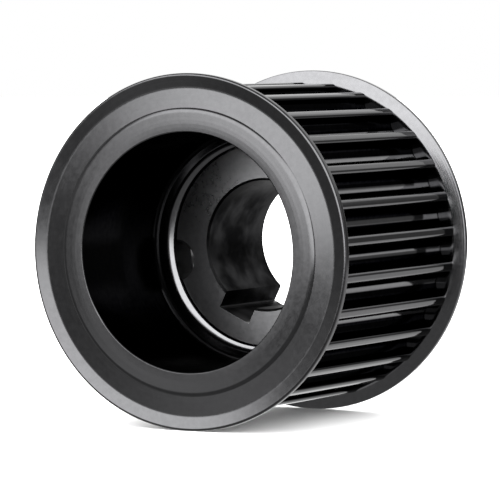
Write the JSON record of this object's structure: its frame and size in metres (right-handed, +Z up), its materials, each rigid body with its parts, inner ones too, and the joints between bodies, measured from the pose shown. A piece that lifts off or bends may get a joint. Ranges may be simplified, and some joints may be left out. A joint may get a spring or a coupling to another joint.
{
  "type": "timing belt pulley",
  "caption": "Double-flanged timing belt pulley with round teeth, a deep front recess and a keyed split taper bush.",
  "frame": {"origin": "on the axis, half way along the overall width, which is the centre of the bounding box", "axes": "+Y along the axis, from the recessed front face to the rear face where the bush's large end is; +Z up"},
  "size_m": [0.075, 0.06, 0.075],
  "materials": {
    "body_steel": "turned and hobbed steel, thinly blackened and oiled, satin to glossy",
    "flange_steel": "pressed steel sheet, thinly blackened and oiled, semi-gloss",
    "bush_iron": "machined cast iron, phosphated, satin",
    "screw_steel": "black oxide on alloy steel"
  },
  "bodies": {
    "hub": {"pulley_body": "body_steel", "front_flange": "flange_steel", "rear_flange": "flange_steel"},
    "bush": {"taper_bush": "bush_iron"},
    "screw_1": {"set_screw_1": "screw_steel"},
    "screw_2": {"set_screw_2": "screw_steel"}
  },
  "joints": [
    {"name": "bush_withdrawal", "type": "slide", "parent": "hub", "child": "bush", "axis": [0, 1, 0], "range_m": [0, 0.03]},
    {"name": "screw_1_travel", "type": "slide", "parent": "bush", "child": "screw_1", "axis": [0, 1, 0], "range_m": [0, 0.02]},
    {"name": "screw_2_travel", "type": "slide", "parent": "bush", "child": "screw_2", "axis": [0, 1, 0], "range_m": [0, 0.02]}
  ]
}
